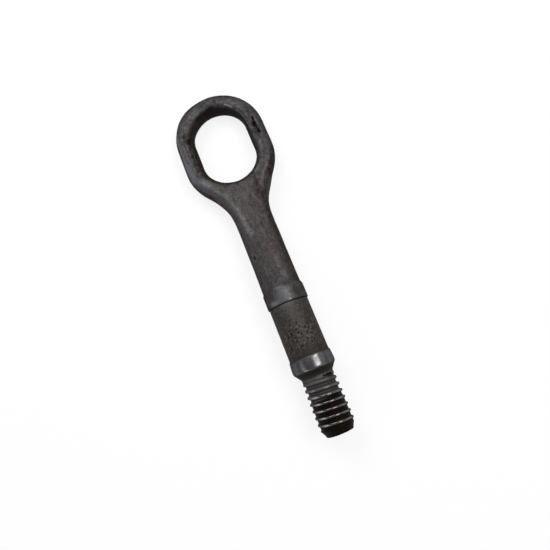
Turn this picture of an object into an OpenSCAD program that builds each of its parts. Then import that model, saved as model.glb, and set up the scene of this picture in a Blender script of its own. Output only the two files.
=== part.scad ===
// Screw-in towing eye: a drop forged eye and shank, turned collars and a rolled left-hand thread.
// It lies on its back with the screw axis along Y, the eye towards +Y and the thread towards -Y.
// The origin is on the axis, in the plane where the pilot collar meets its cone.

/* [Eye] */
// Outer width of the eye
eye_width = 53.3; // [48:0.5:60]
// Width of the hole in the eye
hole_width = 31.5; // [28:0.5:35]
// Length of the hole along the shank
hole_length = 47.2; // [42:0.2:60]
// Thickness of the eye from front to back
eye_depth = 12.8; // [10:0.2:15]
// Radius that rounds the outer side of the eye
eye_side_radius = 8.0; // [6.5:0.1:10]
// Width of the rounded rim round the hole
hole_rim = 4.4; // [3:0.1:5]
// Distance from the origin to the near end of the hole
eye_reach = 109.7; // [98:0.5:130]

/* [Shank] */
// Diameter of the round shank
shank_d = 21.1; // [19:0.1:22]
// Concave radius where the shank spreads into the eye
shoulder_radius = 33.0; // [20:0.5:40]
// Distance from the origin to the start of the forged flats
flat_start = 44.5; // [44:0.5:56]

/* [Collars] */
// Diameter of the pilot collar beside the thread
pilot_d = 22.6; // [22.4:0.1:25]
// Length of the pilot collar
pilot_length = 6.8; // [5:0.1:12]
// Diameter of the stop collar in the middle of the shank
stop_d = 22.3; // [22.3:0.1:25]
// Distance from the origin to the stop collar
stop_start = 34.8; // [26:0.1:36]
// Length of the stop collar
stop_length = 7.9; // [6:0.1:8]
// Width of the broken edges on the collars
collar_edge = 0.6; // [0.3:0.1:1]
// Length of the taper that leads onto a collar from above
collar_lead = 1.8; // [1.2:0.1:2.4]

/* [Thread] */
// Outer diameter of the thread
thread_d = 18.0; // [17.4:0.1:19]
// Diameter at the bottom of the thread groove
root_d = 15.4; // [14.4:0.1:16.2]
// Diameter of the plain neck before the thread
neck_d = 16.6; // [16.4:0.1:17.2]
// Length of the plain neck
neck_length = 1.6; // [1:0.1:4]
// Distance from one thread crest to the next
pitch = 3.3; // [2.5:0.05:4]
// Distance from the small end of the cone to the first full crest in front
first_crest = 3.16; // [2.8:0.02:4]
// Length of the cone between the pilot collar and the neck
cone_length = 3.2; // [2.4:0.1:5]
// Distance from the origin to the threaded end
thread_reach = 31.7; // [24:0.1:40]
// Length of the chamfer at the threaded end
tip_chamfer = 3.7; // [2:0.1:5]
// Diameter of the flat at the threaded end
tip_d = 13.8; // [12:0.1:14.2]

/* [Hidden] */
forged_colour = [0.33, 0.31, 0.31];
turned_colour = [0.45, 0.45, 0.47];
greased_colour = [0.16, 0.14, 0.13];

eye_r = eye_width / 2;
hole_r = hole_width / 2;
shank_r = shank_d / 2;
pilot_r = pilot_d / 2;
stop_r = stop_d / 2;
thread_r = thread_d / 2;
root_r = root_d / 2;
neck_r = neck_d / 2;

// Centres of the round ends of the eye, along the axis
near_end = eye_reach + hole_r;
far_end = eye_reach + hole_length - hole_r;

// Centre of the shoulder's arc, which touches the shank's side and the eye's near end
shoulder_x = shank_r + shoulder_radius;
shoulder_y = near_end - sqrt(pow(shoulder_radius + eye_r, 2) - pow(shoulder_x, 2));
shoulder_angle = atan2(near_end - shoulder_y, shoulder_x);

// The forged part starts inside the stop collar
forged_start = stop_start + stop_length / 2;
// Share of the taper over which the flats start softly
taper_ease = 0.02;
// Share of the section's height over which a flat blends into the round side
flat_blend = 0.25;
// Power of the curve that rounds the rim of the hole
rim_power = 2.4;

// Steps across half a section, and along each stretch of the outline
across = 10;
neck_steps = 8;
shoulder_steps = 9;
near_steps = 9;
limb_steps = 4;
far_steps = 13;

function mix(a, b, t) = a + (b - a) * t;
function clamped(t) = max(0, min(1, t));
function eased(t) = let(c = clamped(t)) c * c * (3 - 2 * c);

// Half the section's thickness at a distance along the axis, before its sides are rounded
function half_depth(y) =
    let(run = eye_reach - flat_start, t = (eye_reach - y) / run)
    eye_depth / 2 + (shank_r - eye_depth / 2) * norm([max(0, t), taper_ease]);

// Radius of the rounded outer side, from the shank's own to the eye's
function side_radius(y) =
    mix(shank_r, eye_side_radius, eased((y - shoulder_y) / (near_end - shoulder_y)));

// Distance from a point in plan to the outline, and to the edge of the hole
function to_outline(x, y) =
    y >= far_end ? eye_r - norm([x, y - far_end])
    : y >= near_end ? eye_r - x
    : atan2(near_end - y, x) <= shoulder_angle ? eye_r - norm([x, y - near_end])
    : y >= shoulder_y ? norm([shoulder_x - x, y - shoulder_y]) - shoulder_radius
    : shank_r - x;
function to_hole(x, y) = norm([x, y - max(near_end, min(far_end, y))]) - hole_r;

// Rises from 0 at an edge to the side's full height, as a quarter circle
function round_side(d, r) = sqrt(max(0, r * r - pow(max(0, r - d), 2)));
// Rises from 0 at the hole's edge to 1 at the inner end of its rim
function round_rim(d) = pow(max(0, 1 - pow(clamped(1 - d / hole_rim), rim_power)), 1 / rim_power);
// Follows q while it is small, and levels out softly at 1
function levelled(q) = min(q, 1) - pow(max(0, flat_blend - abs(q - 1)), 2) / (4 * flat_blend);

// Height of the forged skin above the parting plane
function skin_height(x, y) =
    let(h = half_depth(y), side = round_side(to_outline(x, y), side_radius(y)))
    h * levelled(side / h) * round_rim(to_hole(x, y));

// Pairs of points on one side: the first on the centre line or the hole, the second on the outline
neck_pairs = [for (i = [0 : neck_steps - 1])
    let(y = mix(forged_start, shoulder_y, i / neck_steps)) [[0, y], [shank_r, y]]];
shoulder_pairs = [for (i = [0 : shoulder_steps - 1])
    let(t = i / shoulder_steps, a = 180 - shoulder_angle * t)
    [[0, mix(shoulder_y, eye_reach, sin(90 * t))],
     [shoulder_x + shoulder_radius * cos(a), shoulder_y + shoulder_radius * sin(a)]]];
near_pairs = [for (i = [0 : near_steps - 1])
    let(t = i / near_steps, a = -90 * (1 - t), b = -shoulder_angle * (1 - t))
    [[hole_r * cos(a), near_end + hole_r * sin(a)],
     [eye_r * cos(b), near_end + eye_r * sin(b)]]];
limb_pairs = [for (i = [0 : limb_steps - 1])
    let(y = mix(near_end, far_end, i / limb_steps)) [[hole_r, y], [eye_r, y]]];
far_pairs = [for (i = [0 : far_steps])
    let(a = 90 * i / far_steps)
    [[hole_r * cos(a), far_end + hole_r * sin(a)], [eye_r * cos(a), far_end + eye_r * sin(a)]]];
pairs = concat(neck_pairs, shoulder_pairs, near_pairs, limb_pairs, far_pairs);
split = neck_steps + shoulder_steps;
rows = len(pairs);

// Share of the way from the inner point to the outline, closer together near an edge
function share(i, j) =
    let(t = eased((i - neck_steps) / shoulder_steps))
    mix(sin(90 * j / across), (1 - cos(180 * j / across)) / 2, t);

// One quarter of the skin: the right half of the upper side, with both edges in the parting plane
quarter = [for (i = [0 : rows - 1]) [for (j = [0 : across])
    let(p = mix(pairs[i][0], pairs[i][1], share(i, j)),
        edge = j == across || (j == 0 && i >= split))
    [p[0], p[1], edge ? 0 : skin_height(p[0], p[1])]]];

// All four quarters, as points of one list: sx and sz mirror the quarter in X and Z
per_quarter = rows * (across + 1);
signs = [[1, 1], [-1, 1], [-1, -1], [1, -1]];
skin_points = [for (s = signs) for (row = quarter) for (p = row) [s[0] * p[0], p[1], s[1] * p[2]]];

// Two triangles for each square of the grid, turned over in the mirrored quarters
function at(q, i, j) = q * per_quarter + i * (across + 1) + j;
function square(q, i, j, flip) =
    let(a = at(q, i, j), b = at(q, i, j + 1), c = at(q, i + 1, j + 1), d = at(q, i + 1, j))
    flip ? [[a, b, c], [a, c, d]] : [[a, c, b], [a, d, c]];
skin_faces = [for (q = [0 : 3]) for (i = [0 : rows - 2]) for (j = [0 : across - 1])
    each square(q, i, j, q % 2 == 1)];
// The flat end inside the collar, as one polygon round the section
end_face = concat(
    [for (j = [across : -1 : 0]) at(3, 0, j)], [for (j = [1 : across]) at(2, 0, j)],
    [for (j = [across - 1 : -1 : 0]) at(1, 0, j)], [for (j = [1 : across - 1]) at(0, 0, j)]);

// Forged eye and the tapering shank behind the stop collar
module forged_eye() {
    color(forged_colour)
        polyhedron(skin_points, concat(skin_faces, [end_face]), convexity = 6);
}

// How far a turned form reaches into the one it is joined to
tuck = 0.5;

// Turned stretch: stop collar, round shank, pilot collar and its cone
module turned_shank() {
    stop_end = stop_start + stop_length;
    slope = (pilot_r - neck_r) / cone_length;
    color(turned_colour)
        rotate([-90, 0, 0])
            rotate_extrude($fn = 96)
                polygon([
                    [0, -cone_length - tuck],
                    [neck_r - slope * tuck, -cone_length - tuck],
                    [pilot_r - slope * collar_edge, -collar_edge],
                    [pilot_r, collar_edge],
                    [pilot_r, pilot_length - collar_lead],
                    [pilot_r - collar_edge / 2, pilot_length],
                    [shank_r, pilot_length + collar_edge],
                    [shank_r, stop_start - collar_lead],
                    [stop_r - collar_edge / 3, stop_start - collar_edge / 3],
                    [stop_r, stop_start + collar_edge],
                    [stop_r, stop_end - collar_edge],
                    [shank_r - tuck, stop_end + collar_lead],
                    [0, stop_end + collar_lead],
                ]);
}

// Thread columns round one turn, and its section as [share of the pitch, share of the depth]
thread_columns = 36;
thread_section = [[0, 1], [0.12, 0.92], [0.30, 0.1], [0.37, 0], [0.63, 0], [0.70, 0.1], [0.88, 0.92]];
thread_rows = len(thread_section);
thread_start = 2 * pitch - first_crest - cone_length;
turns = ceil((thread_start + thread_reach) / pitch) + 1;
last_row = turns * thread_rows;
// Turns over which the groove and crest grow out of the plain neck
run_in_turns = 0.9;

// The thread is left-handed: as the angle grows from the front towards +X, it moves towards the end
function thread_point(k, j) =
    let(s = thread_section[k % thread_rows], angle = 360 * j / thread_columns,
        y = thread_start - pitch * (floor(k / thread_rows) + s[0] + j / thread_columns),
        grown = eased((-cone_length - neck_length - y) / (run_in_turns * pitch)),
        r = mix(neck_r, mix(root_r, thread_r, s[1]), grown))
    [r * sin(angle), y, r * cos(angle)];
// A column past the last is the first column one turn further on
function thread_at(k, j) =
    j < thread_columns ? k * thread_columns + j : (k + thread_rows) * thread_columns;
thread_top = (last_row + 1) * thread_columns;
thread_points = concat(
    [for (k = [0 : last_row]) for (j = [0 : thread_columns - 1]) thread_point(k, j)],
    [[0, thread_start - pitch / 2, 0], [0, thread_start - pitch * (turns + 0.5), 0]]);
thread_faces = [for (k = [0 : last_row - 1]) for (j = [0 : thread_columns - 1])
    if (j < thread_columns - 1 || k < last_row - thread_rows)
        each let(a = thread_at(k, j), b = thread_at(k, j + 1),
                 c = thread_at(k + 1, j + 1), d = thread_at(k + 1, j))
            [[a, b, c], [a, c, d]]];
// Loops round both ends of the thread's skin, each closed by triangles to a point on the axis
start_loop = concat([for (j = [0 : thread_columns]) thread_at(0, j)],
    [for (k = [thread_rows - 1 : -1 : 1]) thread_at(k, 0)]);
end_loop = concat([for (j = [0 : thread_columns - 1]) thread_at(last_row, j)],
    [for (k = [last_row - 1 : -1 : last_row - thread_rows]) thread_at(k, thread_columns - 1)]);
start_cap = [for (i = [0 : len(start_loop) - 1])
    [start_loop[(i + 1) % len(start_loop)], start_loop[i], thread_top]];
end_cap = [for (i = [0 : len(end_loop) - 1])
    [end_loop[i], end_loop[(i + 1) % len(end_loop)], thread_top + 1]];

// The chamfer starts with a blunter nose: its share of the chamfer's length, and of the way to the root
nose_share = 0.35;
nose_rise = 0.8;

// Thread on the plain neck, cut off flat with a chamfer
module thread() {
    spare = 1;
    nose = nose_share * tip_chamfer;
    nose_r = mix(tip_d / 2, root_r, nose_rise);
    slope = (thread_r - nose_r) / (tip_chamfer - nose);
    clear_r = thread_r + 3 * spare;
    clear_end = -thread_reach - 3 * pitch;
    color(greased_colour)
        difference() {
            polyhedron(thread_points, concat(thread_faces, start_cap, end_cap), convexity = 10);
            rotate([-90, 0, 0])
                rotate_extrude($fn = 96)
                    polygon([
                        [0, -thread_reach],
                        [tip_d / 2 - spare / 3, -thread_reach],
                        [tip_d / 2, -thread_reach + spare / 4],
                        [nose_r, -thread_reach + nose],
                        [thread_r + slope * spare, -thread_reach + tip_chamfer + spare],
                        [clear_r, -thread_reach + tip_chamfer + spare],
                        [clear_r, clear_end],
                        [0, clear_end],
                    ]);
        }
}

// The whole towing eye, one piece of steel
module tow_hook() {
    union() {
        forged_eye();
        turned_shank();
        thread();
    }
}

tow_hook();
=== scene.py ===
import math

import bpy
import numpy as np
from mathutils import Matrix, Vector, noise


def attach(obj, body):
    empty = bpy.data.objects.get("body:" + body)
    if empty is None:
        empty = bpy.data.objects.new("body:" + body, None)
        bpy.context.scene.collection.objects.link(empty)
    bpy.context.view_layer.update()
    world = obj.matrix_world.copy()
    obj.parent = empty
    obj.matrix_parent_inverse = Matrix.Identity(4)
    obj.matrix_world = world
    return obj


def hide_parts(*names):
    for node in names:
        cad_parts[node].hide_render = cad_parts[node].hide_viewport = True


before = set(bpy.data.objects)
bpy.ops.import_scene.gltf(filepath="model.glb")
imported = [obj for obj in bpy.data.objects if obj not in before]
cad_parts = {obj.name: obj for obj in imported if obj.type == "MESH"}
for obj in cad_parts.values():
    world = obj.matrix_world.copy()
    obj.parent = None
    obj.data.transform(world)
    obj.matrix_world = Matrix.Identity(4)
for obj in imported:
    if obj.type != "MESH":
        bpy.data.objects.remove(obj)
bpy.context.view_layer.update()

# Forged eye and neck
# A steel bar, drop forged hot into a long eye on a neck that thins from a round bar to the web of the eye.
# It keeps the black scale it left the dies with, knocked about by years loose in a tool kit.
MM = 0.001
SNAP = 0.001 * MM
FORGED_FROM = 40 * MM
SKIN_GRID = 0.48 * MM
SKIN_EASING = 14
DENT_REACH = 3.2
LIP_HEIGHT = 0.1

SCALE_DARK = (0.040, 0.039, 0.041)
SCALE_LIGHT = (0.088, 0.087, 0.092)
SCALE_PATCH = (0.070, 0.069, 0.072)
SCALE_BROWN = (0.072, 0.054, 0.043)
NECK_TINT = (1.0, 0.94, 0.87)
WORN_SPECK = (0.21, 0.205, 0.200)
DARK_SPECK = (0.012, 0.009, 0.008)
WORN_EDGE = (0.15, 0.148, 0.150)
GRIME_AND_SHADE = (0.022, 0.015, 0.012)
DENT_DIRT = (0.007, 0.005, 0.004)
EYE_WALL_SHADE = (0.026, 0.019, 0.016)
EYE_WALL_DEEP_SHADE = (0.011, 0.007, 0.006)
RUBBED_AND_HIGHLIT_SCALE = (0.18, 0.178, 0.182)
BARE_STEEL_HIGHLIGHT = (0.33, 0.33, 0.34)
SCALE_RIM = (0.22, 0.22, 0.22)


def alone(piece):
    """Makes one piece the only one that is selected, and the active one."""
    bpy.ops.object.select_all(action="DESELECT")
    piece.select_set(True)
    bpy.context.view_layer.objects.active = piece


def worked(piece, kind, **settings):
    """Adds a modifier with these settings to a piece, and applies it."""
    alone(piece)
    modifier = piece.modifiers.new(kind.lower(), kind)
    for name, value in settings.items():
        setattr(modifier, name, value)
    bpy.ops.object.modifier_apply(modifier=modifier.name)


def weighted(piece, name, weight):
    """A vertex group of a piece, with weight(place) as each vertex's share."""
    group = piece.vertex_groups.new(name=name)
    for vertex in piece.data.vertices:
        share = weight(vertex.co)
        if share > 0:
            group.add([vertex.index], share, "REPLACE")
    return group.name


def textured(piece, name, size, depth, detail, level=0.5, group=""):
    """Raises cloudy lumps of this size and depth on a piece, about the level that stays where it is."""
    pattern = bpy.data.textures.new(name, "CLOUDS")
    pattern.noise_scale = size
    pattern.noise_depth = detail
    worked(piece, "DISPLACE", texture=pattern, texture_coords="LOCAL", strength=depth,
           mid_level=level, vertex_group=group)


def fuller(piece, name, middle, reach, amount, direction):
    """Moves the metal round a place, where the dies were worn or did not quite meet."""
    middle = Vector(middle) * MM
    group = weighted(piece, name, lambda place: math.exp(-((place - middle).length / reach) ** 2))
    worked(piece, "DISPLACE", vertex_group=group, mid_level=0.0, strength=amount, direction=direction)


def struck(piece, start, end, width, depth):
    """Dents a piece along a line, with a low lip of pushed metal on both sides of the dent."""
    start, end = Vector(start) * MM, Vector(end) * MM
    along_dent = end - start
    reach = DENT_REACH * width
    for vertex in piece.data.vertices:
        if (vertex.co - start).length > along_dent.length + reach:
            continue
        share = (vertex.co - start).dot(along_dent) / max(along_dent.length_squared, 1e-12)
        share = max(0.0, min(1.0, share))
        uneven = 1 + 0.5 * noise.noise(vertex.co / (2 * MM)) + 0.45 * noise.noise(vertex.co / (0.9 * MM))
        away = (vertex.co - start - along_dent * share).length / (width * uneven)
        if away < DENT_REACH:
            press = math.exp(-away * away) - LIP_HEIGHT * math.exp(-(away - 2) ** 2 / 0.5)
            vertex.co -= vertex.normal * press * depth


forging = bpy.data.objects.new("forging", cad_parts["tow_hook"].data.copy())
bpy.context.scene.collection.objects.link(forging)
forging.data.materials.clear()
alone(forging)
bpy.ops.object.mode_set(mode="EDIT")
bpy.ops.mesh.select_all(action="SELECT")
bpy.ops.mesh.remove_doubles(threshold=SNAP)
bpy.ops.mesh.bisect(plane_co=(0, FORGED_FROM, 0), plane_no=(0, 1, 0), use_fill=True, clear_inner=True,
                    threshold=SNAP)
bpy.ops.object.mode_set(mode="OBJECT")
worked(forging, "REMESH", mode="VOXEL", voxel_size=SKIN_GRID, use_smooth_shade=True)
worked(forging, "SMOOTH", factor=0.5, iterations=SKIN_EASING)
fuller(forging, "right_shoulder", (16, 101, 0), 7.5 * MM, 1.5 * MM, "X")
fuller(forging, "left_shoulder", (-16, 102, 0), 7.5 * MM, -0.45 * MM, "X")
fuller(forging, "left_crown", (-17, 160, 0), 9 * MM, 0.6 * MM, "NORMAL")
fuller(forging, "hole_foot", (0, 116, 0), 12 * MM, 0.5 * MM, "X")
textured(forging, "die wear", 13 * MM, 0.30 * MM, detail=1, level=0.62)
textured(forging, "scale", 2.6 * MM, 0.10 * MM, detail=2)

# The dents, each with its start and end in millimetres, its width and its depth.
for start, end, width, depth in (
        ((21.2, 141.5, 6.4), (20.9, 136.5, 6.4), 0.8 * MM, 0.55 * MM),
        ((20.9, 137.5, 6.4), (21.7, 132.0, 6.3), 1.1 * MM, 0.80 * MM),
        ((19.1, 133.2, 6.3), (18.4, 129.6, 6.2), 0.5 * MM, 0.30 * MM),
        ((-17.4, 143.2, 5.7), (-17.5, 141.9, 5.7), 1.25 * MM, 0.80 * MM),
        ((-18.8, 134.0, 6.2), (-18.7, 133.2, 6.2), 0.6 * MM, 0.35 * MM),
        ((-17.1, 132.0, 5.1), (-17.2, 131.2, 5.1), 0.6 * MM, 0.35 * MM),
        ((-21.2, 142.0, 6.4), (-21.0, 129.5, 6.4), 0.45 * MM, 0.16 * MM),
        ((-22.7, 129.4, 6.2), (-22.7, 128.9, 6.2), 0.6 * MM, 0.25 * MM),
        ((-25.4, 140.3, 4.1), (-25.5, 139.7, 4.1), 0.6 * MM, 0.25 * MM),
        ((-7.4, 63.0, 7.5), (-7.4, 62.3, 7.5), 0.7 * MM, 0.35 * MM),
        ((8.1, 81.8, 6.6), (8.1, 80.9, 6.6), 0.6 * MM, 0.25 * MM)):
    struck(forging, start, end, width, depth)

# Where the steel is rubbed or soiled, and where highlights and shade are painted on: start, end and width in
# millimetres, and how strongly.
RUBBED_AND_HIGHLIT = [
    # painted highlight along the worn rim of the hole, at its top right and down its right side
    ((9.2, 156.9, 6.0), (12.8, 153.8, 5.7), 0.5, 1.8),
    ((14.6, 150.5, 5.3), (16.5, 145.9, 5.2), 0.7, 0.75),
    ((16.5, 145.9, 5.2), (17.9, 135.6, 6.1), 0.8, 0.7),
    ((18.6, 131.4, 6.2), (19.0, 129.2, 6.2), 0.7, 0.6),
    # painted sheen on the left side of the eye, and painted light on the upper left of the hole's wall
    ((-24.2, 148.0, 4.9), (-24.2, 128.0, 4.9), 1.8, 0.75),
    ((-24.2, 128.0, 4.9), (-22.8, 118.0, 5.4), 2.2, 0.85),
    ((-13.0, 153.0, 2.0), (-16.0, 147.5, 2.0), 3.0, 0.36),
    ((-20.2, 144.0, 6.3), (-19.9, 133.0, 6.3), 0.5, 0.5),
    # painted highlights along the ridges of the shoulders
    ((-22.8, 118.0, 5.4), (-16.7, 111.6, 6.45), 2.4, 0.65),
    ((-16.7, 111.6, 6.45), (-9.2, 100.5, 6.9), 2.2, 0.42),
    ((18.6, 111.6, 6.15), (12.3, 104.2, 6.55), 1.6, 0.36),
    ((12.3, 104.2, 6.55), (8.9, 99.2, 7.0), 1.5, 0.34),
    # painted highlights along the ridges and flat edges of the neck
    ((-9.2, 100.5, 6.9), (-6.6, 89.0, 7.5), 2.4, 0.48),
    ((-6.6, 89.0, 7.5), (-4.6, 76.0, 8.1), 2.6, 0.56),
    ((-4.0, 56.0, 9.0), (-4.2, 49.5, 9.4), 1.9, 0.36),
    ((3.2, 58.0, 9.2), (2.8, 49.0, 9.6), 1.7, 0.42)]
SOILED_AND_SHADED = [
    # left side of the eye, round its dents
    ((-17.4, 143.4, 5.7), (-17.5, 141.9, 5.7), 1.3, 1.8),
    ((-17.2, 147.0, 5.7), (-17.6, 139.5, 5.9), 1.8, 0.6),
    ((-18.6, 147.5, 6.0), (-19.2, 139.0, 6.3), 1.3, 0.55),
    ((-18.0, 139.0, 6.0), (-18.6, 129.0, 6.2), 1.1, 0.5),
    ((-19.4, 147.0, 6.2), (-18.8, 122.0, 6.2), 2.8, 0.62),
    ((-21.2, 143.0, 6.4), (-21.0, 130.0, 6.4), 0.6, 0.45),
    # right side of the eye
    ((19.3, 150.0, 5.8), (20.4, 128.0, 6.3), 2.8, 0.55),
    ((17.0, 134.5, 5.8), (17.2, 128.0, 5.9), 0.7, 0.5),
    ((23.0, 153.0, 4.0), (25.0, 120.0, 4.0), 4.2, 0.48),
    ((21.0, 128.0, 5.8), (21.0, 117.0, 5.8), 2.6, 0.44),
    ((17.5, 124.0, 6.0), (16.5, 116.0, 6.0), 2.5, 0.34),
    # crown
    ((-26.0, 142.0, 2.0), (-13.0, 160.0, 4.0), 6.0, 0.56),
    ((13.0, 160.0, 4.0), (25.0, 146.0, 2.0), 5.0, 0.46),
    ((-13.0, 162.0, 4.6), (13.0, 162.0, 4.6), 5.5, 0.52),
    # painted shade on the top of the hole's wall
    ((-1.5, 158.2, 5.0), (1.5, 158.2, 5.0), 1.6, 0.9),
    ((-9.0, 155.5, 4.0), (-3.0, 157.8, 4.0), 2.0, 0.7),
    # shoulders and the web between them
    ((25.6, 119.5, 3.0), (17.6, 106.5, 3.5), 4.8, 0.66),
    ((-25.0, 114.0, 2.0), (-18.5, 104.0, 3.0), 3.4, 0.66),
    ((-19.0, 120.0, 5.6), (-9.0, 110.8, 5.8), 3.0, 0.58),
    ((12.0, 111.5, 5.8), (19.5, 119.0, 5.6), 3.2, 0.52),
    ((14.0, 110.5, 6.0), (20.0, 113.5, 6.0), 3.0, 0.42),
    ((15.5, 107.0, 5.5), (20.0, 110.0, 5.0), 2.4, 0.5),
    ((-8.0, 109.0, 6.4), (9.0, 108.5, 6.4), 4.4, 0.54),
    ((8.8, 97.5, 7.0), (9.3, 94.5, 6.9), 3.2, 0.65),
    ((17.0, 106.5, 4.0), (11.0, 98.0, 4.5), 3.0, 0.55),
    # neck: brown dirt, with painted shade down its right side
    ((9.0, 104.0, 5.5), (10.0, 45.0, 6.0), 4.8, 0.54),
    ((5.2, 90.0, 7.7), (5.0, 60.0, 8.8), 2.5, 0.40),
    ((3.4, 92.0, 7.8), (3.2, 64.0, 8.8), 2.0, 0.38)]


def new_finish(piece, name):
    """A new finish, given to a piece after those that it has."""
    finish = bpy.data.materials.new(name)
    finish.use_nodes = True
    piece.data.materials.append(finish)
    return finish


def add_node(skin, kind, **settings):
    """A new node in a finish, with its settings."""
    node = skin.node_tree.nodes.new(kind)
    for key, value in settings.items():
        setattr(node, key, value)
    return node


def feed(skin, socket, value):
    """Sets a socket to a number or colour, or joins it to another node's output."""
    if isinstance(value, bpy.types.NodeSocket):
        skin.node_tree.links.new(value, socket)
    elif isinstance(value, tuple) and len(value) == 3 and socket.type == "RGBA":
        socket.default_value = (*value, 1)
    else:
        socket.default_value = value


def grain(skin, size, detail, rough, stretch=(1, 1, 1), shift=0.0):
    """Soft noise from 0 to 1 whose lumps are about this size, stretched along the piece's axes."""
    mapping = add_node(skin, "ShaderNodeMapping")
    feed(skin, mapping.inputs["Vector"], add_node(skin, "ShaderNodeTexCoord").outputs["Object"])
    mapping.inputs["Location"].default_value = (shift, shift, shift)
    mapping.inputs["Scale"].default_value = tuple(1 / (size * s) for s in stretch)
    texture = add_node(skin, "ShaderNodeTexNoise")
    feed(skin, texture.inputs["Vector"], mapping.outputs["Vector"])
    feed(skin, texture.inputs["Scale"], 1.0)
    feed(skin, texture.inputs["Detail"], detail)
    feed(skin, texture.inputs["Roughness"], rough)
    return texture.outputs["Fac"]


def spread(skin, value, low, high, first=0.0, last=1.0):
    """Runs smoothly from first to last as a value goes from low to high, and holds outside them."""
    node = add_node(skin, "ShaderNodeMapRange", interpolation_type="SMOOTHSTEP")
    for name, number in zip(("Value", "From Min", "From Max", "To Min", "To Max"),
                            (value, low, high, first, last)):
        feed(skin, node.inputs[name], number)
    return node.outputs["Result"]


def maths(skin, operation, *values):
    """A sum, product or other operation on numbers."""
    node = add_node(skin, "ShaderNodeMath", operation=operation)
    for socket, value in zip(node.inputs, values):
        feed(skin, socket, value)
    return node.outputs["Value"]


def product(skin, first, second):
    """Two numbers multiplied."""
    return maths(skin, "MULTIPLY", first, second)


def between(skin, share, first, second, how="MIX"):
    """A colour that goes from the first to the second with the share."""
    node = add_node(skin, "ShaderNodeMix", data_type="RGBA", blend_type=how, clamp_factor=True)
    for name, value in (("Factor_Float", share), ("A_Color", first), ("B_Color", second)):
        socket = next(s for s in node.inputs if s.identifier == name)
        feed(skin, socket, value)
    return next(s for s in node.outputs if s.identifier == "Result_Color")


def raised(skin, height, depth, normal=None):
    """A bump of this depth in metres, on top of another one where it is given."""
    node = add_node(skin, "ShaderNodeBump")
    feed(skin, node.inputs["Strength"], 1.0)
    feed(skin, node.inputs["Distance"], depth)
    feed(skin, node.inputs["Height"], height)
    if normal is not None:
        feed(skin, node.inputs["Normal"], normal)
    return node.outputs["Normal"]


def place_of(skin, axis):
    """Place along one axis, in metres."""
    node = add_node(skin, "ShaderNodeSeparateXYZ")
    feed(skin, node.inputs["Vector"], add_node(skin, "ShaderNodeTexCoord").outputs["Object"])
    return node.outputs[axis]


def along(skin, axis, low, high, first=0.0, last=1.0):
    """Runs smoothly from first to last between two places on an axis."""
    return spread(skin, place_of(skin, axis), low, high, first, last)


def kept(skin, name):
    """A number that is kept on the vertices under this name."""
    return add_node(skin, "ShaderNodeAttribute", attribute_name=name).outputs["Fac"]


def ragged(skin, name, size, low, high):
    """A kept share with a broken, grainy border."""
    uneven = maths(skin, "ADD", grain(skin, size, 4.0, 0.7, shift=9.1), -0.5)
    return spread(skin, maths(skin, "ADD", kept(skin, name), uneven), low, high)


def coated(skin, colour, rough, metal, normal, shine, rim):
    """Sets a finish's shader. The rim colour dims a metal where it is seen at a low angle."""
    shader = skin.node_tree.nodes["Principled BSDF"]
    for name, value in (("Base Color", colour), ("Roughness", rough), ("Metallic", metal), ("Normal", normal),
                        ("Specular IOR Level", shine), ("Specular Tint", rim)):
        feed(skin, shader.inputs[name], value)


# The scale is mottled on the eye, and finer, browner and drawn out lengthwise down the neck. Dirt lies in the
# dents, and the wall of the hole is painted dark as shade. The metal shows where it is rubbed, and highlights
# are painted along ridges, edges and the rim.
skin = new_finish(forging, "forged_skin")
low_down = along(skin, "Y", 128 * MM, 100 * MM)
fine = maths(skin, "MULTIPLY_ADD", low_down, -0.45, 1.0)
patches = spread(skin, grain(skin, 9 * MM, 4.0, 0.65), 0.38, 0.64)
mottle = spread(skin, grain(skin, 2.4 * MM, 4.0, 0.7, shift=3.1), 0.34, 0.68)
drawn = spread(skin, grain(skin, 1.7 * MM, 4.0, 0.65, stretch=(1, 2.4, 1), shift=4.2), 0.30, 0.74)
mottle = between(skin, low_down, mottle, drawn)
brown = spread(skin, grain(skin, 4 * MM, 5.0, 0.7, shift=5.7), 0.44, 0.70, 0.0, 0.4)
speckle = grain(skin, 0.9 * MM, 3.0, 0.7, shift=7.3)
worn_specks = product(skin, spread(skin, speckle, 0.54, 0.72, 0.0, 0.6), fine)
dark_specks = product(skin, spread(skin, speckle, 0.45, 0.30, 0.0, 0.9), fine)
# Painted shade on the wall of the eye's hole, darkest deep inside it.
eye_wall_shade = spread(skin, kept(skin, "hole_wall_shade"), 0.16, 0.76, 0.0, 0.66)
eye_wall_deep_shade = spread(skin, kept(skin, "hole_wall_shade"), 0.60, 0.80, 0.0, 0.90)
colour = between(skin, mottle, SCALE_DARK, SCALE_LIGHT)
colour = between(skin, patches, colour, SCALE_PATCH)
colour = between(skin, low_down, colour, NECK_TINT, "MULTIPLY")
colour = between(skin, brown, colour, SCALE_BROWN)
colour = between(skin, worn_specks, colour, WORN_SPECK)
colour = between(skin, dark_specks, colour, DARK_SPECK)
colour = between(skin, spread(skin, kept(skin, "hollow"), -0.2, -0.9, 0.0, 0.35), colour, WORN_EDGE)
# Grime, and painted shade on the top of the hole's wall and down the right side of the neck.
colour = between(skin, ragged(skin, "soiled_and_shaded", 2.0 * MM, 0.2, 0.8), colour, GRIME_AND_SHADE)
colour = between(skin, spread(skin, kept(skin, "hollow"), 0.25, 2.4), colour, DENT_DIRT)
colour = between(skin, eye_wall_shade, colour, EYE_WALL_SHADE)
colour = between(skin, eye_wall_deep_shade, colour, EYE_WALL_DEEP_SHADE)
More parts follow.
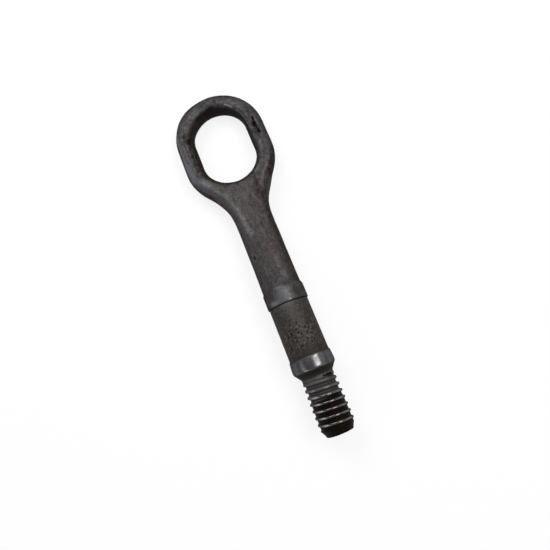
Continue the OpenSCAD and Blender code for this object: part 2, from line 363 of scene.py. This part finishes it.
# Painted highlights and sheen along ridges, edges and the rim of the hole, with some rubbed wear. They are
# brightest on the rim.
colour = between(skin, ragged(skin, "rubbed_and_highlit", 1.6 * MM, 0.2, 0.9), colour, RUBBED_AND_HIGHLIT_SCALE)
colour = between(skin, ragged(skin, "rubbed_and_highlit", 1.0 * MM, 1.0, 1.7), colour, BARE_STEEL_HIGHLIGHT)
rough_scale = grain(skin, 1.6 * MM, 3.0, 0.6, shift=1.7)
normal = raised(skin, product(skin, speckle, fine), 0.09 * MM)
normal = raised(skin, product(skin, rough_scale, fine), 0.15 * MM, normal)
coated(skin, colour, spread(skin, mottle, 0.0, 1.0, 0.56, 0.44), 0.7, normal, 0.2, SCALE_RIM)

# Turned shank
# The round bar below the neck: a pilot collar and a stop collar are turned bright on it,
# and the bar between them keeps its rolled skin, pitted and rubbed in the bumper's socket, with painted light
# along its top.
SHANK_R = 10.55 * MM
STOP_Y = 34.75 * MM
STOP_TOP = 42.5 * MM
STOP_R = 11.15 * MM
PILOT_TOP = 6.5 * MM
PILOT_R = 11.3 * MM
NECK_R = 8.3 * MM
CONE_END = -3.2 * MM
CONE_FOOT = -3.47 * MM
RING_SIDES = 180
RING_STEP = 0.45 * MM
RING_TURN = math.radians(0.7)
PITS = 66
PITS_LEFT = -7
PITS_ACROSS = 15
PITS_LOW = 11.5
PITS_ALONG = 13
PIT_DEPTH = 0.17 * MM
ROLLED, STOP, PILOT = range(3)

ROLLED_DARK = (0.042, 0.037, 0.033)
ROLLED_LIGHT = (0.082, 0.076, 0.071)
ROLLED_PATCH = (0.066, 0.053, 0.044)
ROLLED_SPECK = (0.19, 0.183, 0.175)
ROLLED_RUBBED_AND_LIT = (0.125, 0.118, 0.110)
ROLLED_STAIN = (0.042, 0.035, 0.030)
ROLLED_RIM = (0.20, 0.20, 0.20)
CONE_DIRT = (0.009, 0.006, 0.005)
PIT_SHINE = (0.19, 0.189, 0.187)
PIT_RUST = (0.014, 0.011, 0.009)
PIT_DIRT = (0.009, 0.007, 0.006)
BAND_SPECK = (0.03, 0.027, 0.025)
STOP_DULL = (0.058, 0.054, 0.052)
STOP_GREY = (0.088, 0.083, 0.081)
STOP_WORN_AND_HIGHLIT = (0.150, 0.150, 0.159)
STOP_PAINTED_HIGHLIGHT = (0.32, 0.32, 0.33)
STOP_DIRT = (0.010, 0.008, 0.007)
STOP_RIM = (0.25, 0.25, 0.25)
PILOT_BRIGHT = (0.240, 0.238, 0.250)
PILOT_DULL = (0.155, 0.153, 0.163)
PILOT_SIDE_SHADE = (0.035, 0.034, 0.035)
PILOT_RUST = (0.050, 0.045, 0.041)
PILOT_RIM = (0.42, 0.42, 0.43)

# The bar's outline from the neck down, as place along the axis and radius. The foot of the cone lies under
# the skin of the threaded end, and the circle is turned a little, so that their corners never meet.
SHANK_CORNERS = (
    (45.8 * MM, 8.8 * MM), (44.4 * MM, SHANK_R - 0.3 * MM), (STOP_TOP, STOP_R - 0.02 * MM),
    (STOP_Y + 0.7 * MM, STOP_R), (STOP_Y + 0.1 * MM, STOP_R - 0.12 * MM),
    (STOP_Y - 0.05 * MM, SHANK_R - 0.1 * MM), (STOP_Y - 0.4 * MM, SHANK_R - 0.1 * MM),
    (STOP_Y - 0.8 * MM, SHANK_R), (PILOT_TOP + 0.3 * MM, SHANK_R), (PILOT_TOP, PILOT_R - 0.36 * MM),
    (4.1 * MM, PILOT_R - 0.1 * MM), (2.2 * MM, PILOT_R), (0.7 * MM, PILOT_R - 0.04 * MM),
    (0, PILOT_R - 0.3 * MM), (-0.5 * MM, PILOT_R - 0.8 * MM), (CONE_END, NECK_R + 0.1 * MM),
    (CONE_FOOT, NECK_R - 0.1 * MM), (CONE_FOOT, 6 * MM))


def eased(share):
    """Runs from 0 to 1 with soft ends."""
    share = max(0.0, min(1.0, share))
    return share * share * (3 - 2 * share)


y, r = SHANK_CORNERS[0]
bpy.ops.object.select_all(action="DESELECT")
bpy.ops.mesh.primitive_circle_add(vertices=RING_SIDES, radius=r, fill_type="NGON",
                                  location=(0, y, 0), rotation=(math.pi / 2, RING_TURN, 0))
shank = bpy.context.object
shank.name = "turned_shank"
bpy.ops.object.transform_apply(location=True, rotation=True, scale=True)
bpy.ops.object.mode_set(mode="EDIT")
bpy.ops.mesh.select_all(action="SELECT")
for next_y, next_r in SHANK_CORNERS[1:]:
    bpy.ops.mesh.extrude_region_move(TRANSFORM_OT_translate={"value": (0, next_y - y, 0)})
    bpy.ops.transform.resize(value=(next_r / r, 1, next_r / r), center_override=(0, next_y, 0))
    y, r = next_y, next_r
bpy.ops.mesh.select_all(action="SELECT")
bpy.ops.mesh.normals_make_consistent(inside=False)

# Rings are cut between the corners, close enough together for the pits to take shape.
ring_y = CONE_END + RING_STEP
while ring_y < SHANK_CORNERS[0][0]:
    if all(abs(ring_y - corner) > 0.1 * MM for corner, _ in SHANK_CORNERS):
        bpy.ops.mesh.select_all(action="SELECT")
        bpy.ops.mesh.bisect(plane_co=(0, ring_y, 0), plane_no=(0, 1, 0), threshold=SNAP)
    ring_y += RING_STEP
bpy.ops.object.mode_set(mode="OBJECT")

rolled = weighted(shank, "rolled_skin", lambda place: eased((place.y - PILOT_TOP - MM) / (2 * MM))
                  * eased((STOP_Y - MM - place.y) / (2 * MM)))
textured(shank, "rolled skin", 1.9 * MM, 0.12 * MM, detail=2, level=0.6, group=rolled)

# The pits are placed in millimetres, on the front of the bar. Each is a short slip of its own width.
noise.seed_set(7)
for _ in range(PITS):
    pit = Vector((PITS_LEFT + noise.random() * PITS_ACROSS, PITS_LOW + noise.random() * PITS_ALONG, 0))
    pit.z = math.sqrt((SHANK_R / MM) ** 2 - pit.x ** 2)
    slip = Vector((0.6 * noise.random() - 0.3, 0.8 * noise.random(), 0))
    struck(shank, pit, pit + slip, (0.22 + 0.25 * noise.random() ** 2) * MM, PIT_DEPTH)

RUBBED_AND_HIGHLIT += [
    # rolled skin, lighter along its top: rubbed wear, and painted light
    ((0.8, 33.0, 10.5), (0.8, 17.0, 10.5), 5.5, 0.5),
    # stop collar: its worn middle with a painted highlight, and painted highlight spots
    ((-1.0, 35.2, 11.0), (-1.0, 39.6, 11.0), 4.6, 1.0),
    ((-7.4, 36.3, 8.5), (-4.6, 36.0, 10.1), 1.5, 1.15),
    ((1.7, 35.5, 11.0), (2.1, 35.5, 11.0), 0.5, 1.7)]

# The rolled skin is brown and specked. Its pits are rusty or rubbed bright, and the cone is black with dirt.
skin = new_finish(shank, "rolled_skin")
patches = spread(skin, grain(skin, 5 * MM, 4.0, 0.65), 0.38, 0.64)
mottle = spread(skin, grain(skin, 2.0 * MM, 4.0, 0.7, shift=2.1), 0.36, 0.66)
speckle = grain(skin, 0.8 * MM, 3.0, 0.7, shift=6.3)
dark_cone = product(skin, along(skin, "Y", -0.2 * MM, -0.6 * MM),
                    along(skin, "Y", -3.3 * MM, -1.6 * MM, 0.3, 0.96))
pitted = product(skin, along(skin, "Y", 26 * MM, 20 * MM), along(skin, "Y", 9 * MM, 13 * MM))
pitted = product(skin, pitted, along(skin, "Z", -2 * MM, 5 * MM, 0.25, 1.0))
shine = product(skin, pitted, spread(skin, grain(skin, 1.3 * MM, 3.0, 0.6, shift=15.1), 0.54, 0.66, 0.0, 0.7))
rust = product(skin, pitted, spread(skin, grain(skin, 1.0 * MM, 2.0, 0.5, shift=12.4), 0.45, 0.35, 0.0, 0.75))
pit_dirt = product(skin, spread(skin, kept(skin, "hollow"), 0.12, 0.8, 0.0, 0.9),
                   along(skin, "Y", PILOT_TOP + 1.2 * MM, PILOT_TOP + 2.2 * MM, 0.1, 1.0))
colour = between(skin, mottle, ROLLED_DARK, ROLLED_LIGHT)
colour = between(skin, patches, colour, ROLLED_PATCH)
colour = between(skin, spread(skin, speckle, 0.55, 0.72, 0.0, 0.7), colour, ROLLED_SPECK)
colour = between(skin, spread(skin, speckle, 0.45, 0.30, 0.0, 0.9), colour, DARK_SPECK)
colour = between(skin, dark_cone, colour, CONE_DIRT)
# Lighter along the top of the bar: partly rubbed wear, partly painted light from above.
colour = between(skin, ragged(skin, "rubbed_and_highlit", 2.5 * MM, 0.1, 1.0), colour, ROLLED_RUBBED_AND_LIT)
colour = between(skin, along(skin, "Y", 14 * MM, 8 * MM, 0.0, 0.5), colour, ROLLED_STAIN)
colour = between(skin, shine, colour, PIT_SHINE)
colour = between(skin, rust, colour, PIT_RUST)
colour = between(skin, pit_dirt, colour, PIT_DIRT)
normal = raised(skin, speckle, 0.10 * MM)
normal = raised(skin, grain(skin, 1.5 * MM, 3.0, 0.6, shift=1.7), 0.10 * MM, normal)
coated(skin, colour, 0.60, 0.4, normal, 0.2, ROLLED_RIM)

# The stop collar has dulled. The middle of its front is worn bright and carries a painted highlight, with
# painted highlight spots.
skin = new_finish(shank, "stop_band")
dull = spread(skin, grain(skin, 4 * MM, 4.0, 0.65, shift=8.2), 0.36, 0.66)
worn_and_highlit = ragged(skin, "rubbed_and_highlit", 2.2 * MM, 0.15, 0.95)
specks = spread(skin, grain(skin, 0.9 * MM, 3.0, 0.7), 0.56, 0.72, 0.0, 0.8)
colour = between(skin, dull, STOP_DULL, STOP_GREY)
# Lighter in the middle with wear and a painted highlight, with painted highlight spots at its brightest.
colour = between(skin, worn_and_highlit, colour, STOP_WORN_AND_HIGHLIT)
colour = between(skin, ragged(skin, "rubbed_and_highlit", 1.0 * MM, 1.0, 1.7), colour, STOP_PAINTED_HIGHLIGHT)
colour = between(skin, specks, colour, BAND_SPECK)
colour = between(skin, spread(skin, kept(skin, "hollow"), 0.2, 1.2), colour, STOP_DIRT)
normal = raised(skin, grain(skin, 1 * MM, 2.0, 0.6, stretch=(9, 0.3, 9)), 0.03 * MM)
normal = raised(skin, grain(skin, 1.2 * MM, 3.0, 0.6, shift=3.3), 0.09 * MM, normal)
coated(skin, colour, spread(skin, worn_and_highlit, 0.0, 1.0, 0.50, 0.46), 0.9, normal, 0.3, STOP_RIM)

# The pilot collar is still bright, with painted shade on its sides and a rusty edge towards the eye.
skin = new_finish(shank, "pilot_band")
dull = spread(skin, grain(skin, 3.5 * MM, 4.0, 0.65, shift=2.3), 0.36, 0.66)
# Painted shade: the collar is darkened towards its left and right sides.
shaded_sides = maths(skin, "MAXIMUM", along(skin, "X", -3.6 * MM, -6.0 * MM, 0.0, 0.76),
              along(skin, "X", 5.3 * MM, 7.5 * MM, 0.0, 0.70))
specks = spread(skin, grain(skin, 0.8 * MM, 3.0, 0.7), 0.62, 0.74, 0.0, 0.7)
uneven = grain(skin, 1.3 * MM, 3.0, 0.7, shift=11.2)
uneven = maths(skin, "MULTIPLY_ADD", uneven, 2.2 * MM, place_of(skin, "Y"))
rusty_edge = spread(skin, uneven, 6.6 * MM, 7.6 * MM, 0.0, 0.85)
roughness = maths(skin, "MULTIPLY_ADD", rusty_edge, 0.3, spread(skin, dull, 0.0, 1.0, 0.19, 0.26))
colour = between(skin, dull, PILOT_BRIGHT, PILOT_DULL)
colour = between(skin, shaded_sides, colour, PILOT_SIDE_SHADE)
colour = between(skin, specks, colour, BAND_SPECK)
colour = between(skin, rusty_edge, colour, PILOT_RUST)
normal = raised(skin, grain(skin, 1 * MM, 2.0, 0.6, stretch=(9, 0.16, 9)), 0.03 * MM)
coated(skin, colour, roughness, 1.0, normal, 0.5, PILOT_RIM)

for face in shank.data.polygons:
    if face.center.y > STOP_Y - 0.1 * MM:
        face.material_index = STOP
    elif 0 < face.center.y < PILOT_TOP:
        face.material_index = PILOT
    else:
        face.material_index = ROLLED

# Thread
# A coarse left-hand thread cut on the end of the bar, so that it can't work loose under a turning rope.
# The die ran out on the neck, and old black grease has set in the bottoms of the turns.
PITCH = 3.3 * MM
FIRST_CREST = -5.58 * MM
THREAD_TOP = 1.2 * MM
THREAD_END = -31.7 * MM
TURNS = 12
TURN_STEPS = 126
PITCH_STEPS = 16
CREST_R = 9.0 * MM
ROOT_R = 7.6 * MM
FLANK_END = 0.37
FLANK = 0.31
RUN_OUT_Y = FIRST_CREST - 0.3 * PITCH
RUN_OUT = 0.9 * PITCH
GREASE_R = 8.2 * MM
GREASE_FROM = -11 * MM
GREASE_FILLS = 7 * MM
GREASE_LUMPS = 0.12 * MM
BLANK = ((3 * MM, 8.25 * MM), (-4.9 * MM, NECK_R), (-6.2 * MM, 8.62 * MM), (-14 * MM, CREST_R),
         (-27.8 * MM, CREST_R), (-30.3 * MM, 7.5 * MM), (THREAD_END, 6.9 * MM))

GREASE = (0.0077, 0.0054, 0.0041)
GREASE_BROWN = (0.022, 0.012, 0.008)
ROOT_CLEAN = (0.074, 0.069, 0.066)
ROOT_RUST = (0.024, 0.013, 0.008)
ROOT_DIRT_AND_SHADE = (0.012, 0.009, 0.008)
NECK_DARK = (0.038, 0.033, 0.030)
NECK_LIGHT = (0.086, 0.080, 0.076)
THREAD_EDGE_WEAR_AND_HIGHLIGHT = (0.16, 0.153, 0.148)
THREAD_DIRT = (0.008, 0.006, 0.005)
THREAD_RIM = (0.20, 0.20, 0.20)
CREST_BARE = (0.155, 0.152, 0.152)
CREST_PAINTED_HIGHLIGHT = (0.50, 0.49, 0.49)


def blank_radius(y):
    """Radius of the bar before its thread was cut."""
    for (y0, r0), (y1, r1) in zip(BLANK, BLANK[1:]):
        if y >= y1:
            return r0 + (r1 - r0) * min(1.0, (y0 - y) / (y0 - y1))
    return BLANK[-1][1]


def thread_radius(place):
    """Radius of the cut and greased thread at a place near it. Its flanks are shares of the pitch."""
    turn = math.atan2(place.z, -place.x) / math.tau % 1.0
    phase = ((FIRST_CREST - place.y) / PITCH - turn) % 1.0
    from_crest = min(phase, 1 - phase)
    cut = ROOT_R + (CREST_R - ROOT_R) * eased((FLANK_END - from_crest) / FLANK)
    cut += (CREST_R - cut) * eased((place.y - RUN_OUT_Y) / RUN_OUT)
    filled = eased((GREASE_FROM - place.y) / GREASE_FILLS)
    lumps = noise.noise(place / (3 * MM)) + 0.5 * noise.noise(place / (1.1 * MM))
    grease = ROOT_R + (GREASE_R - ROOT_R) * filled + GREASE_LUMPS * lumps
    return min(blank_radius(place.y), max(cut, grease))


# One pitch of points in a line is screwed round the axis, and each point is then set to the thread's radius.
bpy.ops.object.select_all(action="DESELECT")
bpy.ops.mesh.primitive_circle_add(vertices=4, radius=MM, location=(-CREST_R, FIRST_CREST + 3 * PITCH, 0))
thread = bpy.context.object
thread.name = "thread"
bpy.ops.object.transform_apply(location=True, rotation=True, scale=True)
bpy.ops.object.mode_set(mode="EDIT")
bpy.ops.mesh.select_all(action="SELECT")
bpy.ops.mesh.merge(type="CENTER")
for _ in range(PITCH_STEPS):
    bpy.ops.mesh.extrude_vertices_move(TRANSFORM_OT_translate={"value": (0, PITCH / PITCH_STEPS, 0)})
bpy.ops.object.mode_set(mode="OBJECT")
worked(thread, "SCREW", axis="Y", angle=math.tau, screw_offset=-PITCH, iterations=TURNS,
       steps=TURN_STEPS, render_steps=TURN_STEPS)
bpy.ops.object.mode_set(mode="EDIT")
bpy.ops.mesh.select_all(action="SELECT")
bpy.ops.mesh.remove_doubles(threshold=0.01 * MM)
bpy.ops.object.mode_set(mode="OBJECT")
for vertex in thread.data.vertices:
    scale = thread_radius(vertex.co) / math.hypot(vertex.co.x, vertex.co.z)
    vertex.co.x *= scale
    vertex.co.z *= scale
bpy.ops.object.mode_set(mode="EDIT")
bpy.ops.mesh.select_all(action="SELECT")
bpy.ops.mesh.bisect(plane_co=(0, THREAD_TOP, 0), plane_no=(0, 1, 0), use_fill=True, clear_outer=True,
                    threshold=SNAP)
bpy.ops.mesh.select_all(action="SELECT")
bpy.ops.mesh.bisect(plane_co=(0, THREAD_END, 0), plane_no=(0, 1, 0), use_fill=True, clear_inner=True,
                    threshold=SNAP)
bpy.ops.mesh.select_all(action="SELECT")
bpy.ops.mesh.normals_make_consistent(inside=False)
bpy.ops.object.mode_set(mode="OBJECT")

# A nick on the neck, and the dirt in it and beside it.
struck(thread, (2.5, -4.7, 7.9), (6.1, -4.8, 5.6), 0.35 * MM, 0.35 * MM)
SOILED_AND_SHADED += [
    ((2.8, -4.7, 7.8), (4.4, -4.9, 7.0), 0.45, 0.9),
    ((4.6, -4.6, 6.9), (6.9, -4.8, 4.7), 0.75, 1.0),
    ((5.0, -6.5, 6.6), (7.5, -6.0, 3.6), 1.2, 0.5)]


def axis_distance(skin):
    """Distance from the hook's axis, in metres."""
    x, z = place_of(skin, "X"), place_of(skin, "Z")
    return maths(skin, "SQRT", maths(skin, "MULTIPLY_ADD", x, x, product(skin, z, z)))


# The crests are bare metal, with a painted highlight streak on the left. The bottoms are clean towards the
# neck and full of grease beyond a slanting border. Where clean, edges are lighter with wear and painted
# highlight, and bottoms darker with dirt and painted shade.
skin = new_finish(thread, "greased_thread")
slanted = maths(skin, "MULTIPLY_ADD", place_of(skin, "X"), -0.15, place_of(skin, "Y"))
clean = spread(skin, slanted, -15.4 * MM, -13.2 * MM)
bare = spread(skin, axis_distance(skin), CREST_R - 0.36 * MM, CREST_R - 0.05 * MM)
bare = product(skin, bare, along(skin, "X", -8.8 * MM, -5.5 * MM, 0.45, 1.0))
# A painted highlight streak on the left of the crests.
painted_crest_highlight = product(skin, along(skin, "X", -6.8 * MM, -5.4 * MM, 0.0, 0.6),
                   along(skin, "X", -3.6 * MM, -4.8 * MM))
lumps = grain(skin, 1.4 * MM, 4.0, 0.65, shift=4.4)
mottle = spread(skin, grain(skin, 1.8 * MM, 4.0, 0.7, shift=2.1), 0.36, 0.66)
neck_skin = between(skin, mottle, NECK_DARK, NECK_LIGHT)
greasy = between(skin, spread(skin, lumps, 0.50, 0.70, 0.0, 0.8), GREASE, GREASE_BROWN)
colour = between(skin, clean, GREASE, ROOT_CLEAN)
colour = between(skin, spread(skin, lumps, 0.50, 0.70, 0.0, 0.6), colour, ROOT_RUST)
colour = between(skin, along(skin, "Y", -6.8 * MM, -4.8 * MM), colour, neck_skin)
# Edges are lightened, partly wear and partly painted highlight. Bottoms are darkened, partly dirt and partly
# painted shade.
colour = between(skin, spread(skin, kept(skin, "hollow"), -0.1, -0.7, 0.0, 0.5), colour, THREAD_EDGE_WEAR_AND_HIGHLIGHT)
colour = between(skin, spread(skin, kept(skin, "hollow"), 0.5, 1.7, 0.0, 0.55), colour, ROOT_DIRT_AND_SHADE)
colour = between(skin, clean, greasy, colour)
colour = between(skin, bare, colour, CREST_BARE)
colour = between(skin, product(skin, painted_crest_highlight, bare), colour, CREST_PAINTED_HIGHLIGHT)
colour = between(skin, ragged(skin, "soiled_and_shaded", 1.2 * MM, 0.2, 0.7), colour, THREAD_DIRT)
rough_skin = maths(skin, "ADD", lumps, product(skin, grain(skin, 0.8 * MM, 3.0, 0.7), 0.8))
normal = raised(skin, rough_skin, 0.02 * MM)
roughness = spread(skin, bare, 0.0, 1.0, 0.55, 0.15)
coated(skin, colour, roughness, maths(skin, "MAXIMUM", bare, 0.3), normal, 0.12, THREAD_RIM)

# One piece
# The forging, the turned bar and the thread are one piece of steel, so they are joined into one skin here.
# How deep each place lies below its surroundings is kept, for the dirt in dents and the wear on edges.
EYE_HOLE_R = 15.75 * MM
EYE_WALL_DEPTH = 5 * MM
EYE_NEAR = 125.5 * MM
EYE_FAR = 141.2 * MM
HOLLOW_ROUNDS = 10
HOLLOW_DEPTH = 0.05 * MM
SOFT_ROUNDS = 2

for part in (shank, thread):
    worked(forging, "BOOLEAN", object=part, operation="UNION", solver="EXACT", material_mode="TRANSFER")
    bpy.data.objects.remove(part)
hook = forging
hook.name = "forged_and_turned_hook"
alone(hook)
bpy.ops.object.shade_smooth_by_angle(angle=math.radians(40))
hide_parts("tow_hook")
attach(hook, "root")


def rows_of(items, name, width, kind=float):
    """One property of all items, with a row for each."""
    values = np.empty(len(items) * width, kind)
    items.foreach_get(name, values)
    return values.reshape(-1, width)


def keep(name, values):
    """Keeps a number on each of the hook's vertices under this name."""
    hook.data.attributes.new(name, "FLOAT", "POINT").data.foreach_set("value", values)


def averaged(values):
    """Each vertex's mean over its neighbours."""
    sums = [np.bincount(ends[:, 0], weights=column[ends[:, 1]], minlength=count) for column in values.T]
    return np.stack(sums, 1) / neighbours


places = rows_of(hook.data.vertices, "co", 3)
normals = rows_of(hook.data.vertices, "normal", 3)
edges = rows_of(hook.data.edges, "vertices", 2, int)
count = len(places)
ends = np.concatenate([edges, edges[:, ::-1]])
neighbours = np.maximum(np.bincount(ends[:, 0], minlength=count), 1)[:, None]

# The skin is flattened a little, and how far each place lies below the flattened one is its hollow.
flattened = places.copy()
for _ in range(HOLLOW_ROUNDS):
    flattened = 0.5 * flattened + 0.5 * averaged(flattened)
hollow = ((flattened - places) * normals).sum(1)[:, None] / HOLLOW_DEPTH
for _ in range(SOFT_ROUNDS):
    hollow = 0.5 * hollow + 0.5 * averaged(hollow)
keep("hollow", hollow[:, 0])

# The wall of the hole faces the hole's middle line, and is painted dark there as shade. The painted shade is
# darker on the left than on the right, and least at its top left and bottom right.
hole_line = np.stack([np.zeros(count), np.clip(places[:, 1], EYE_NEAR, EYE_FAR)], 1)
inward = hole_line - places[:, :2]
reach = np.linalg.norm(inward, axis=1)
facing = (inward * normals[:, :2]).sum(1) / np.maximum(reach, MM)
facing *= 0.80 + 0.06 * normals[:, 0] + 0.25 * np.minimum(normals[:, 0] * normals[:, 1], 0.0)
keep("hole_wall_shade", np.where(reach < EYE_HOLE_R + EYE_WALL_DEPTH, np.maximum(facing, 0.0), 0.0))

for name, strokes in (("rubbed_and_highlit", RUBBED_AND_HIGHLIT), ("soiled_and_shaded", SOILED_AND_SHADED)):
    share = np.zeros(count)
    for start, end, width, most in strokes:
        start, end = np.array(start) * MM, np.array(end) * MM
        stroke = end - start
        part = np.clip((places - start) @ stroke / (stroke @ stroke), 0, 1)
        away = np.linalg.norm(places - start - part[:, None] * stroke, axis=1) / (width * MM)
        share = np.maximum(share, most * np.exp(-away ** 2))
    keep(name, share)

# Camera
# It hangs about 24 cm over the pilot collar, as the photograph's perspective tells, and looks down and
# towards the eye. It is rolled so that the eye stands at the upper left, and its lens is shifted to suit.
CAMERA_Y = 0.00105
CAMERA_HEIGHT = 0.23975
TILT = math.radians(16.966)
ROLL = math.radians(22.088)
PICTURE_SIDE = 550.0
FOCAL = 456.7
SHIFT_ACROSS = 13.7
SHIFT_UP = -37.7
SENSOR_WIDTH = 36.0

down = Vector((0.0, math.tan(TILT), -1.0)).normalized()
across = Vector((1.0, 0.0, 0.0))
upright = across.cross(down)
right = across * math.cos(ROLL) - upright * math.sin(ROLL)
top = across * math.sin(ROLL) + upright * math.cos(ROLL)
camera = bpy.data.objects.new("camera", bpy.data.cameras.new("camera"))
bpy.context.scene.collection.objects.link(camera)
camera.matrix_world = Matrix((
    (right.x, top.x, -down.x, 0),
    (right.y, top.y, -down.y, CAMERA_Y),
    (right.z, top.z, -down.z, CAMERA_HEIGHT),
    (0, 0, 0, 1)))
camera.data.sensor_width = SENSOR_WIDTH
camera.data.lens = FOCAL / PICTURE_SIDE * SENSOR_WIDTH
camera.data.shift_x = SHIFT_ACROSS / PICTURE_SIDE
camera.data.shift_y = SHIFT_UP / PICTURE_SIDE
camera.data.clip_start = 0.01
bpy.context.scene.camera = camera

# Studio
# A pale paper sweep under the hook, dished up all round like a shallow tray, with three soft lamps over it.
# The hook lies on the edge of its stop collar and the back of its eye, so the sweep is tipped to meet both.
REST = Vector((0, 42.7 * MM, -11.3 * MM))
REST_TIP = math.radians(2.28)
SWEEP = ((0.8, 0.0), (1.0, 0.02), (1.15, 0.08), (1.25, 0.20), (1.30, 0.45), (1.32, 0.90))
PAPER = (0.24, 0.24, 0.24)
FLOOR_GLOW = 0.82
WALL_GLOW = 0.48
HOOK_MIDDLE = Vector((0, 65 * MM, 0))
LAMP_DISTANCE = 0.9
WORLD_LIGHT = 0.20

bpy.ops.object.select_all(action="DESELECT")
bpy.ops.mesh.primitive_circle_add(vertices=96, radius=SWEEP[0][0], fill_type="NGON")
sweep = bpy.context.object
sweep.name = "sweep"
bpy.ops.object.mode_set(mode="EDIT")
for (r, z), (next_r, next_z) in zip(SWEEP, SWEEP[1:]):
    bpy.ops.mesh.select_mode(type="EDGE")
    bpy.ops.mesh.select_all(action="DESELECT")
    bpy.ops.mesh.select_non_manifold()
    bpy.ops.mesh.extrude_edges_move(TRANSFORM_OT_translate={"value": (0, 0, next_z - z)})
    bpy.ops.transform.resize(value=(next_r / r, next_r / r, 1), center_override=(0, 0, next_z))
bpy.ops.object.mode_set(mode="OBJECT")
bpy.ops.object.shade_smooth_by_angle(angle=math.radians(60))
sweep.rotation_euler = (REST_TIP, 0, 0)
sweep.location = REST

paper = new_finish(sweep, "paper")
paper.node_tree.nodes.clear()
matt = add_node(paper, "ShaderNodeBsdfDiffuse")
feed(paper, matt.inputs["Color"], PAPER)
ray = add_node(paper, "ShaderNodeLightPath")
seen = maths(paper, "MAXIMUM", ray.outputs["Is Camera Ray"], ray.outputs["Is Glossy Ray"])
seen = maths(paper, "MAXIMUM", seen, ray.outputs["Is Transmission Ray"])
x, y = place_of(paper, "X"), place_of(paper, "Y")
outward = maths(paper, "MULTIPLY_ADD", x, x, product(paper, y, y))
fading = spread(paper, outward, SWEEP[0][0] ** 2, SWEEP[-1][0] ** 2, FLOOR_GLOW, WALL_GLOW)
glow = add_node(paper, "ShaderNodeEmission")
feed(paper, glow.inputs["Strength"], product(paper, seen, fading))
both = add_node(paper, "ShaderNodeAddShader")
feed(paper, both.inputs[0], matt.outputs[0])
feed(paper, both.inputs[1], glow.outputs[0])
feed(paper, add_node(paper, "ShaderNodeOutputMaterial").inputs["Surface"], both.outputs[0])

world = bpy.data.worlds.new("studio")
bpy.context.scene.world = world
world.use_nodes = True
world.node_tree.nodes["Background"].inputs["Color"].default_value = (1, 1, 1, 1)
world.node_tree.nodes["Background"].inputs["Strength"].default_value = WORLD_LIGHT

# Each lamp's bearing and height in degrees, its length and width, how bright it makes white, and its tint.
for name, bearing, height, length, width, share, tint in (
        ("right_lamp", -4, 63, 0.90, 0.38, 0.46, (1.0, 0.98, 0.96)),
        ("top_lamp", 104, 51, 0.50, 0.50, 0.38, (0.94, 0.97, 1.0)),
        ("left_lamp", 198, 33, 1.10, 0.24, 0.135, (0.81, 0.83, 1.0))):
    bearing, height = math.radians(bearing), math.radians(height)
    level = math.cos(height)
    towards = Vector((math.cos(bearing) * level, math.sin(bearing) * level, math.sin(height)))
    lamp = bpy.data.objects.new(name, bpy.data.lights.new(name, "AREA"))
    bpy.context.scene.collection.objects.link(lamp)
    lamp.data.shape = "RECTANGLE"
    lamp.data.size = length
    lamp.data.size_y = width
    lamp.data.color = tint
    lamp.data.energy = share * math.pi ** 2 * LAMP_DISTANCE ** 2
    lamp.location = HOOK_MIDDLE + towards * LAMP_DISTANCE
    lamp.rotation_euler = towards.to_track_quat("Z", "Y").to_euler()
    lamp.visible_camera = False

bpy.context.scene.view_settings.view_transform = "Standard"
